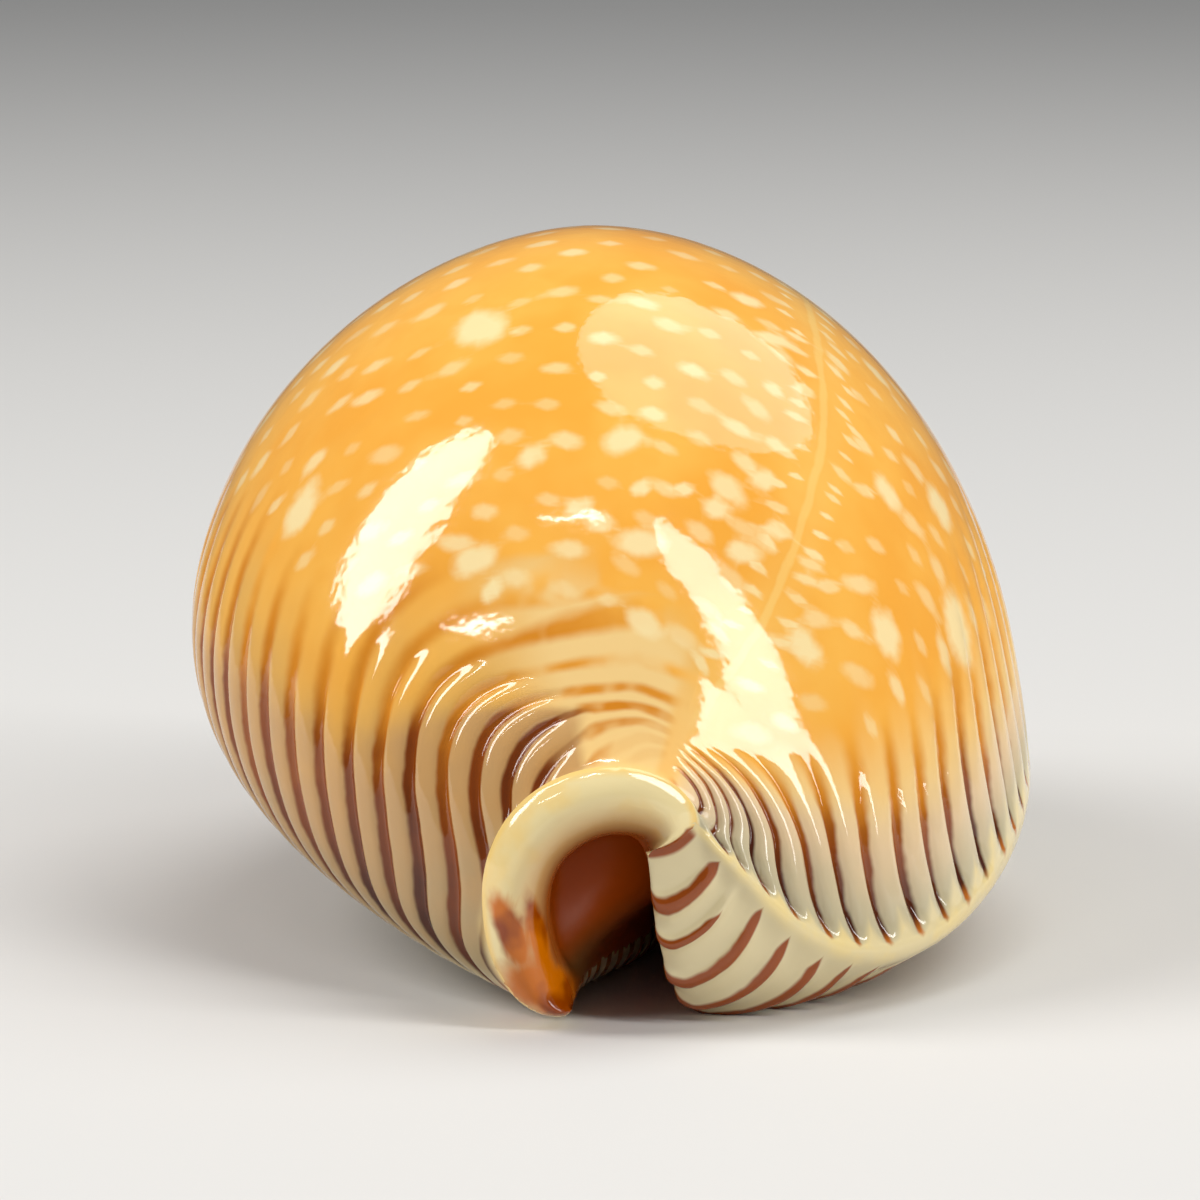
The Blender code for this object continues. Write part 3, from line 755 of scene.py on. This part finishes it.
def makeShell():
    outer, inner, lines, columns, lipRibs, innerRibs = surfaces()
    placeInFrame(outer, inner)
    bm = bmesh.new()
    sheets = []
    for points, isInside in ((outer, False), (inner, True)):
        sheets.append((points, markings(points, surfaceNormals(points), lines, columns,
                                        lipRibs, innerRibs, isInside)))
    layers = {name: bm.verts.layers.float.new(name) for name in sheets[0][1]}
    for points, values in sheets:
        addSheet(bm, points, values, layers)
    bmesh.ops.remove_doubles(bm, verts=bm.verts, dist=1e-8)
    bmesh.ops.recalc_face_normals(bm, faces=bm.faces)
    mesh = bpy.data.meshes.new("cowryShell")
    bm.to_mesh(mesh)
    bm.free()
    shell = addObject("cowryShell", mesh)
    thinTheInside(shell)
    shell.data.shade_smooth()
    return shell


# Only the inside is thinned; the surface that is seen keeps every face.
def thinTheInside(shell):
    insideValues = shell.data.attributes["inside"].data
    group = shell.vertex_groups.new(name="insideOnly")
    chosen = [index for index, item in enumerate(insideValues) if item.value > 0.5]
    group.add(chosen, 1.0, "REPLACE")
    faces = sum(len(polygon.vertices) - 2 for polygon in shell.data.polygons)
    thin = shell.modifiers.new("fewer faces inside", "DECIMATE")
    thin.vertex_group = group.name
    thin.ratio = shellForm["triangles"] / faces
    thinned = shell.evaluated_get(bpy.context.evaluated_depsgraph_get())
    shell.data = bpy.data.meshes.new_from_object(thinned)
    shell.modifiers.clear()
    shell.vertex_groups.clear()


# Short names for building materials: a value may be a number, a colour or another node's socket.
def feed(tree, socket, value):
    if isinstance(value, bpy.types.NodeSocket):
        tree.links.new(value, socket)
    else:
        socket.default_value = value


def calc(tree, operation, *values):
    node = tree.nodes.new("ShaderNodeMath")
    node.operation = operation
    for socket, value in zip(node.inputs, values):
        feed(tree, socket, value)
    return node.outputs[0]


def plus(tree, first, second):
    return calc(tree, "ADD", first, second)


def minus(tree, first, second):
    return calc(tree, "SUBTRACT", first, second)


def times(tree, first, second):
    return calc(tree, "MULTIPLY", first, second)


# From the first number to the second as a share goes from 0 to 1.
def slide(tree, share, first, second):
    return calc(tree, "MULTIPLY_ADD", share, second - first, first)


def easeNode(tree, value, start, end, low=0.0, high=1.0):
    node = tree.nodes.new("ShaderNodeMapRange")
    node.interpolation_type = "SMOOTHSTEP"
    entries = {"Value": value, "From Min": start, "From Max": end, "To Min": low, "To Max": high}
    for name, entry in entries.items():
        feed(tree, node.inputs[name], entry)
    return node.outputs["Result"]


# Inputs 6 and 7 and output 2 are a Mix node's colours.
def mixColour(tree, share, first, second):
    node = tree.nodes.new("ShaderNodeMix")
    node.data_type = "RGBA"
    feed(tree, node.inputs["Factor"], share)
    feed(tree, node.inputs[6], first)
    feed(tree, node.inputs[7], second)
    return node.outputs[2]


def noiseNode(tree, coords, scale, detail=2.0):
    node = tree.nodes.new("ShaderNodeTexNoise")
    tree.links.new(coords, node.inputs["Vector"])
    node.inputs["Scale"].default_value = scale
    node.inputs["Detail"].default_value = detail
    return node.outputs["Fac"]


def valueOf(tree, name):
    node = tree.nodes.new("ShaderNodeAttribute")
    node.attribute_name = name
    return node.outputs["Fac"]


# A tone as a screen shows it, 0 to 255, as the linear colour that a node takes.
def screenColour(red, green, blue):
    return tuple((c / 255 / 12.92 if c < 10.3 else ((c / 255 + 0.055) / 1.055) ** 2.4)
                 for c in (red, green, blue)) + (1.0,)


enamel = {
    "orange": (252, 186, 80),
    "deepOrange": (248, 172, 62),
    "spot": (252, 230, 172),
    "ribHigh": (246, 208, 138),
    "ribMiddle": (230, 200, 158),
    "ribLow": (196, 184, 150),
    # the inner side's rib tones: its own tan, darkened further by painted shade on that side
    "innerRibHighTanAndShade": (228, 176, 92),
    "innerRibMiddleTanAndShade": (202, 156, 100),
    "innerRibLowTanAndShade": (172, 152, 112),
    "lineHigh": (218, 136, 32),
    "lineMiddle": (142, 66, 4),
    "lineLow": (72, 24, 0),
    "lineFoot": (190, 104, 22),
    "callus": (238, 214, 150),
    "lipBase": (226, 210, 166),
    "tooth": (150, 68, 0),
    "collar": (240, 220, 164),
    "collarEdge": (246, 208, 124),
    "mantle": (252, 222, 138),
    # painted shade: the funnel's tan, brown and deep tones darken the inside with depth, the deepest partly
    # its own orange-brown
    "funnelShadeTan": (196, 152, 96),
    "funnelShadeBrown": (150, 76, 20),
    "funnelShadeDeep": (184, 78, 0),
    "funnelWall": (148, 98, 46),      # the left lobe's inner face
    "lobeBrown": (204, 108, 0),
    "lobeDark": (146, 62, 0),
    "roughness": 0.07,
    "throatRoughness": 0.32,
    "ior": 1.55,
    "ripple": (0.45, 3.0),            # scale and detail of faint waves
    "rippleStrength": 0.06,
    "rippleHeight": 0.0006,           # m
}

# Each as a scale, a detail, the noise at which patches start and are full, and their shares there.
patchNoise = {
    "clouds": (0.16, 3.0, 0.35, 0.68, 0.0, 1.0),
    "fineClouds": (0.6, 2.0, 0.35, 0.7, 0.0, 0.35),
    "lineBreaks": (0.42, 2.0, 0.42, 0.62, 0.0, 0.85),
    "callus": (0.5, 3.0, 0.40, 0.62, 0.3, 1.0),
    "collarWarm": (0.35, 3.0, 0.42, 0.66, 0.0, 0.8),
    "funnelWarm": (0.35, 3.0, 0.42, 0.66, 0.0, 0.6),
    "lobe": (0.5, 2.0, 0.46, 0.68, 0.0, 1.0),
}

# Noise that makes an edge stray, as its scale and its reach on either side.
strayNoise = {
    "rib": (0.7, 0.07),
    "level": (0.5, 0.10),
    "spot": (1.1, 0.375),
    "mantle": (0.6, 0.25),
    "stripe": (0.5, 0.012),
    "rim": (0.5, 0.15),
    "margin": (0.45, 0.008),
    "collar": (0.4, 0.15),
    "lobe": (0.8, 0.3),
}

# Where one tone gives way to the next, as the values at which that starts and is done. Two more numbers
# are the shares there, where they aren't 0 and 1.
blends = {
    # levels of the sides
    "lineSoft": (0.45, 0.9, 0.05, 0.17),                  # softness of a line's edge, in ribs
    "lineMiddle": (0.1, 0.5),
    "lineHigh": (0.42, 0.78),
    "lineBack": (0.75, 1.15),
    "lineFoot": (0.10, -0.04),
    "ribMiddle": (0.05, 0.5),
    "ribHigh": (0.4, 0.8),
    # places round the shell
    "marbledStart": (0.425, 0.45),
    "marbledEnd": (0.60, 0.54),
    "seam": (0.026, 0.004),
    "innerBase": (0.84, 0.90),
    "stripeWidth": (-0.035, 0.012, 0.15, -0.05),          # half width past a stripe's end, in ribs
    "rimStripeEnd": (0.02, -0.02),
    "callus": (0.195, 0.23),
    "lipFace": (0.250, 0.238),
    "collarFoot": (0.235, 0.25),
    "funnelStripe": (0.235, 0.205),
    "lobeWall": (0.76, 0.88),
    # growth lines from the spire
    "marbledLines": (6.9, 6.2),
    "seamLines": (6.6, 5.6),
    "mantleStart": (5.2, 6.2),
    "mantleEnd": (13.5, 12.0),
    "rimStripeLines": (0.75, 0.45),
    "funnelStripeLines": (0.30, 0.15),
    "collar": (0.25, -0.25),                              # these from the collar's edge
    # growth lines from the nearer rim
    "collarRim": (0.5, 0.0),
    "funnelRim": (0.22, 0.0),
    # painted shade in the funnel, deepening with distance from the rim
    "funnelShadeTan": (0.4, 1.5),
    "funnelShadeBrown": (1.2, 2.2),
    "funnelShadeDeep": (2.2, 4.5),
    "lobeWallStart": (0.4, 1.0),
    "lobeWallEnd": (6.0, 4.0),
    "throat": (1.6, 2.4),
    # other measures: mm from the mantle line, distances that are 1 at a mark's edge, ribs, share inside
    "mantleThread": (0.36, 0.10, 0.0, 0.42),
    "mantleHalo": (2.2, 0.4, 0.0, 0.12),
    "spot": (1.35, 0.5),
    "lobePatch": (1.25, 0.65),
    "stripeEdge": (0.04, -0.04),
    "inside": (0.3, 0.9),
}

# Widths are in ribs, the rest are levels of the sides.
sideLook = {
    # on the outer lip's side and on the inner side
    "ribRise": (0.25, 0.55),          # how much higher some ribs run than others
    "narrowLine": (0.10, 0.20),       # half width of a line low down
    "fadeStart": (0.48, 0.35),        # where ribs start to fade into the orange
    "fadeEnd": (1.15, 0.95),
    # away from the marbled part above the spire canal and in it
    "wideLine": (0.17, 0.25),         # half width of a line higher up
    "closingStart": (0.85, 0.55),     # where the lines close over the ribs
    "closingEnd": (1.35, 1.10),
    "widening": (0.1, 0.8),
    "closed": 0.45,                   # half width that closing adds
    "marbledThinner": 0.09,           # half width that lines lose in the marbled part
    "turnVaries": 0.24,               # how far lines differ in where their tone turns
    "fadeVaries": 0.6,                # of the rise of a rib
    "faded": 0.95,                    # share
    "seamTone": 0.45,                 # share of the back's tone in the seam
    "innerNumber": 40.0,              # ribs of the inner side are numbered on from here
}

lipLook = {
    "shortStripe": 3.0,               # number of the line whose stripe is short
    "stripeEnd": (0.205, 0.145),      # place round the shell where stripes end, and where the short one does
    "lineReach": 0.035,               # how much further down lines reach than ribs
}


def tone(name):
    return screenColour(*enamel[name])


# A share that goes by one of the blends.
def blend(tree, value, name):
    return easeNode(tree, value, *blends[name])


def patches(tree, place, name):
    scale, detail, *span = patchNoise[name]
    return easeNode(tree, noiseNode(tree, place, scale, detail), *span)


# Noise about zero.
def stray(tree, place, name):
    scale, reach = strayNoise[name]
    return slide(tree, noiseNode(tree, place, scale), -reach, reach)


# Tones that follow each other, each by the blend of its own name.
def tonesAlong(tree, value, colour, *names):
    for name in names:
        colour = mixColour(tree, blend(tree, value, name), colour, tone(name))
    return colour


# The same chance value, 0 to 1, all over one rib or line.
def lot(tree, number):
    node = tree.nodes.new("ShaderNodeTexWhiteNoise")
    node.noise_dimensions = "1D"
    tree.links.new(number, node.inputs["W"])
    return node.outputs["Value"]


# Object coordinates in mm.
def shellPlace(tree):
    coords = tree.nodes.new("ShaderNodeTexCoord")
    grow = tree.nodes.new("ShaderNodeMapping")
    grow.inputs["Scale"].default_value = (1 / mm,) * 3
    tree.links.new(coords.outputs["Object"], grow.inputs["Vector"])
    return grow.outputs["Vector"]


# Orange with soft clouds.
def backColour(tree, place):
    clouds = calc(tree, "MAXIMUM", patches(tree, place, "clouds"), patches(tree, place, "fineClouds"))
    return mixColour(tree, clouds, tone("orange"), tone("deepOrange"))


# Rib number, number of the nearest line, distance from it in ribs, and whether this is the inner side.
def ribCoordinates(tree, place, around):
    onInner = calc(tree, "GREATER_THAN", around, sideLines["meeting"])
    lipPart = times(tree, valueOf(tree, "lipRibs"), minus(tree, 1.0, onInner))
    innerPart = times(tree, plus(tree, valueOf(tree, "innerRibs"), sideLook["innerNumber"]), onInner)
    number = plus(tree, plus(tree, lipPart, innerPart), stray(tree, place, "rib"))
    nearest = calc(tree, "ROUND", number)
    return number, nearest, calc(tree, "ABSOLUTE", minus(tree, number, nearest)), onInner


# Pale ribs between lines that are brown below and orange above.
def sideColour(tree, place, line, around, back):
    number, nearest, apart, onInner = ribCoordinates(tree, place, around)
    level = plus(tree, valueOf(tree, "sideLevel"), stray(tree, place, "level"))
    rise = times(tree, lot(tree, calc(tree, "FLOOR", number)), slide(tree, onInner, *sideLook["ribRise"]))
    marbled = times(tree, blend(tree, line, "marbledLines"),
                    times(tree, blend(tree, around, "marbledStart"), blend(tree, around, "marbledEnd")))
    narrow = slide(tree, onInner, *sideLook["narrowLine"])
    wide = slide(tree, marbled, *sideLook["wideLine"])
    wider = easeNode(tree, level, *sideLook["widening"], narrow, wide)
    closingStart = slide(tree, marbled, *sideLook["closingStart"])
    closingEnd = slide(tree, marbled, *sideLook["closingEnd"])
    closing = easeNode(tree, minus(tree, level, rise), closingStart, closingEnd, 0.0, sideLook["closed"])
    halfWidth = calc(tree, "MULTIPLY_ADD", marbled, -sideLook["marbledThinner"], plus(tree, wider, closing))
    soft = blend(tree, level, "lineSoft")
    onLine = easeNode(tree, minus(tree, apart, halfWidth), soft, times(tree, soft, -1.0))
    broken = times(tree, marbled, patches(tree, place, "lineBreaks"))
    onLine = times(tree, onLine, minus(tree, 1.0, broken))
    varies = sideLook["turnVaries"]
    turning = calc(tree, "MULTIPLY_ADD", lot(tree, nearest), varies, minus(tree, level, varies / 2))
    lineTone = tonesAlong(tree, turning, tone("lineLow"), "lineMiddle", "lineHigh")
    lineTone = mixColour(tree, blend(tree, turning, "lineBack"), lineTone, back)
    lineTone = tonesAlong(tree, level, lineTone, "lineFoot")
    # the inner side's ribs take tan tones darkened by painted shade
    low = mixColour(tree, onInner, tone("ribLow"), tone("innerRibLowTanAndShade"))
    middle = mixColour(tree, onInner, tone("ribMiddle"), tone("innerRibMiddleTanAndShade"))
    high = mixColour(tree, minus(tree, onInner, marbled), tone("ribHigh"), tone("innerRibHighTanAndShade"))
    ribTone = mixColour(tree, blend(tree, level, "ribMiddle"), low, middle)
    ribTone = mixColour(tree, blend(tree, level, "ribHigh"), ribTone, high)
    fadeStart = slide(tree, onInner, *sideLook["fadeStart"])
    fadeEnd = slide(tree, onInner, *sideLook["fadeEnd"])
    fadeLevel = calc(tree, "MULTIPLY_ADD", rise, -sideLook["fadeVaries"], level)
    fading = easeNode(tree, fadeLevel, fadeStart, fadeEnd, 0.0, sideLook["faded"])
    ribTone = mixColour(tree, times(tree, fading, minus(tree, 1.0, marbled)), ribTone, back)
    ribTone = mixColour(tree, blend(tree, around, "innerBase"), ribTone, tone("lipBase"))
    sides = mixColour(tree, onLine, ribTone, lineTone)
    # the two sides' lines meet softly above the spire canal
    fromSeam = calc(tree, "ABSOLUTE", minus(tree, around, sideLines["meeting"]))
    seam = times(tree, blend(tree, fromSeam, "seam"), blend(tree, line, "seamLines"))
    seamTone = mixColour(tree, sideLook["seamTone"], tone("ribHigh"), back)
    return mixColour(tree, seam, sides, seamTone), nearest, apart


# Cream spots with ragged, soft edges.
def addSpots(tree, place, colour):
    away = plus(tree, valueOf(tree, "spotDistance"), stray(tree, place, "spot"))
    share = times(tree, blend(tree, away, "spot"), valueOf(tree, "spotStrength"))
    return mixColour(tree, share, colour, tone("spot"))


def addMantleLine(tree, place, line, colour):
    away = calc(tree, "ABSOLUTE", plus(tree, valueOf(tree, "mantle"), stray(tree, place, "mantle")))
    across = calc(tree, "MAXIMUM", blend(tree, away, "mantleThread"), blend(tree, away, "mantleHalo"))
    along = times(tree, blend(tree, line, "mantleStart"), blend(tree, line, "mantleEnd"))
    return mixColour(tree, times(tree, across, along), colour, tone("mantle"))


# Cream face of the outer lip with brown stripes, and the smooth callus along its margin.
def addLip(tree, place, line, around, nearest, apart, colour):
    isShort = calc(tree, "COMPARE", nearest, lipLook["shortStripe"], 0.5)
    stripeEnd = slide(tree, isShort, *lipLook["stripeEnd"])
    past = minus(tree, around, plus(tree, stripeEnd, stray(tree, place, "stripe")))
    stripes = blend(tree, minus(tree, apart, blend(tree, past, "stripeWidth")), "stripeEdge")
    onRim = blend(tree, plus(tree, line, stray(tree, place, "rim")), "rimStripeLines")
    stripes = calc(tree, "MAXIMUM", stripes, times(tree, onRim, blend(tree, past, "rimStripeEnd")))
    face = mixColour(tree, stripes, tone("lipBase"), tone("tooth"))
    raggedPlace = plus(tree, around, stray(tree, place, "margin"))
    onCallus = times(tree, blend(tree, raggedPlace, "callus"), patches(tree, place, "callus"))
    face = mixColour(tree, onCallus, face, tone("callus"))
    raggedPlace = calc(tree, "MULTIPLY_ADD", apart, -lipLook["lineReach"], raggedPlace)
    return mixColour(tree, blend(tree, raggedPlace, "lipFace"), colour, face)


# Cream that is warmer in patches and at the rim, for the collar or the funnel.
def creamColour(tree, place, fromRim, part):
    warm = calc(tree, "MAXIMUM", patches(tree, place, part + "Warm"), blend(tree, fromRim, part + "Rim"))
    return mixColour(tree, warm, tone("collar"), tone("collarEdge"))


def addCollar(tree, place, fromRim, around, colour):
    past = plus(tree, valueOf(tree, "pastCollar"), stray(tree, place, "collar"))
    share = times(tree, blend(tree, past, "collar"), blend(tree, around, "collarFoot"))
    return mixColour(tree, share, colour, creamColour(tree, place, fromRim, "collar"))


# brown patches on the left lobe, the one at its foot partly painted shade
def addLobePatches(tree, place, colour):
    away = plus(tree, valueOf(tree, "lobePatch"), stray(tree, place, "lobe"))
    brown = mixColour(tree, patches(tree, place, "lobe"), tone("lobeBrown"), tone("lobeDark"))
    return mixColour(tree, blend(tree, away, "lobePatch"), colour, brown)


# Cream funnel with painted shade that darkens it into the throat; the deepest orange-brown is partly the
# inside's own colour.
def insideColour(tree, place, line, fromRim, around):
    rim = creamColour(tree, place, fromRim, "funnel")
    stripe = times(tree, blend(tree, line, "funnelStripeLines"), blend(tree, around, "funnelStripe"))
    rim = mixColour(tree, stripe, rim, tone("tooth"))
    deep = tonesAlong(tree, fromRim, rim, "funnelShadeTan", "funnelShadeBrown", "funnelShadeDeep")
    lobeWall = times(tree, blend(tree, around, "lobeWall"), blend(tree, fromRim, "lobeWallStart"))
    lobeWall = times(tree, lobeWall, blend(tree, fromRim, "lobeWallEnd"))
    return mixColour(tree, lobeWall, deep, tone("funnelWall"))


def makeEnamel():
    material = bpy.data.materials.new("spottedCowryEnamel")
    material.use_nodes = True
    tree = material.node_tree
    surface = tree.nodes["Principled BSDF"]
    place = shellPlace(tree)
    line, around, fromRim = (valueOf(tree, name) for name in ("line", "place", "fromRim"))
    colour, nearest, apart = sideColour(tree, place, line, around, backColour(tree, place))
    colour = addSpots(tree, place, colour)
    colour = addMantleLine(tree, place, line, colour)
    colour = addLip(tree, place, line, around, nearest, apart, colour)
    colour = addCollar(tree, place, fromRim, around, colour)
    inside = blend(tree, valueOf(tree, "inside"), "inside")
    colour = mixColour(tree, inside, colour, insideColour(tree, place, line, fromRim, around))
    colour = addLobePatches(tree, place, colour)
    tree.links.new(colour, surface.inputs["Base Color"])
    throat = times(tree, inside, blend(tree, fromRim, "throat"))
    roughness = slide(tree, throat, enamel["roughness"], enamel["throatRoughness"])
    tree.links.new(roughness, surface.inputs["Roughness"])
    surface.inputs["IOR"].default_value = enamel["ior"]
    ripple = tree.nodes.new("ShaderNodeBump")
    ripple.inputs["Strength"].default_value = enamel["rippleStrength"]
    ripple.inputs["Distance"].default_value = enamel["rippleHeight"]
    tree.links.new(noiseNode(tree, place, *enamel["ripple"]), ripple.inputs["Height"])
    tree.links.new(ripple.outputs["Normal"], surface.inputs["Normal"])
    return material


studio = {
    "paper": (218, 216, 212),
    "paperSize": 3.0,                 # m
    "paperRoughness": 0.7,
    "sky": (214, 218, 224),
    "skyStrength": 0.20,
    "aimHeight": 0.012,               # m, what the lights point at, above the floor
    # name: direction from the shell, way of the long side, distance, length and width in m, radiance
    "lights": {
        "overhead": ((0.32, 0.24, 0.91), (0.83, 0.36, -0.35), 0.45, 0.48, 0.33, 2.7),
        "leftWindow": ((-0.79, -0.09, 0.60), (0.5, 0.0, 0.52), 0.50, 0.42, 0.13, 12.0),
        "rightStrip": ((0.68, -0.47, 0.56), (0.67, 0.18, -0.88), 0.50, 0.58, 0.10, 10.5),
        "frontEdgeHigh": ((-0.24, -0.47, 0.85), (-0.34, 0.08, -0.05), 0.50, 0.18, 0.010, 26.0),
        "frontEdgeLow": ((-0.68, -0.48, 0.56), (0.25, -0.19, 0.13), 0.50, 0.18, 0.010, 26.0),
    },
}


def makeLight(name, direction, longWay, distance, length, width, radiance):
    data = bpy.data.lights.new(name, "AREA")
    data.shape = "ELLIPSE"
    data.size, data.size_y = length, width
    data.energy = radiance * math.pi * math.pi / 4 * length * width
    light = addObject(name, data)
    toLight = Vector(direction).normalized()
    sideways = (Vector(longWay) - toLight * Vector(longWay).dot(toLight)).normalized()
    light.location = toLight * distance + Vector((0, 0, studio["aimHeight"]))
    light.rotation_euler = Matrix((sideways, toLight.cross(sideways), toLight)).transposed().to_euler()


def makeStudio():
    bm = bmesh.new()
    bmesh.ops.create_grid(bm, x_segments=1, y_segments=1, size=studio["paperSize"] / 2)
    mesh = bpy.data.meshes.new("paleFloor")
    bm.to_mesh(mesh)
    bm.free()
    floor = addObject("paleFloor", mesh)
    paper = bpy.data.materials.new("palePaper")
    paper.use_nodes = True
    surface = paper.node_tree.nodes["Principled BSDF"]
    surface.inputs["Base Color"].default_value = screenColour(*studio["paper"])
    surface.inputs["Roughness"].default_value = studio["paperRoughness"]
    mesh.materials.append(paper)
    world = bpy.data.worlds.new("softSky")
    world.use_nodes = True
    sky = world.node_tree.nodes["Background"]
    sky.inputs["Color"].default_value = screenColour(*studio["sky"])
    sky.inputs["Strength"].default_value = studio["skyStrength"]
    bpy.context.scene.world = world
    bpy.context.scene.view_settings.view_transform = "Standard"
    for name, values in studio["lights"].items():
        makeLight(name, *values)


makeCamera()
makeStudio()
print("camera, floor and lights set")

shell = makeShell()
shell.data.materials.clear()
shell.data.materials.append(makeEnamel())
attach(shell, "root")
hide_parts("shell")
print("shell made:", len(shell.data.polygons), "faces")
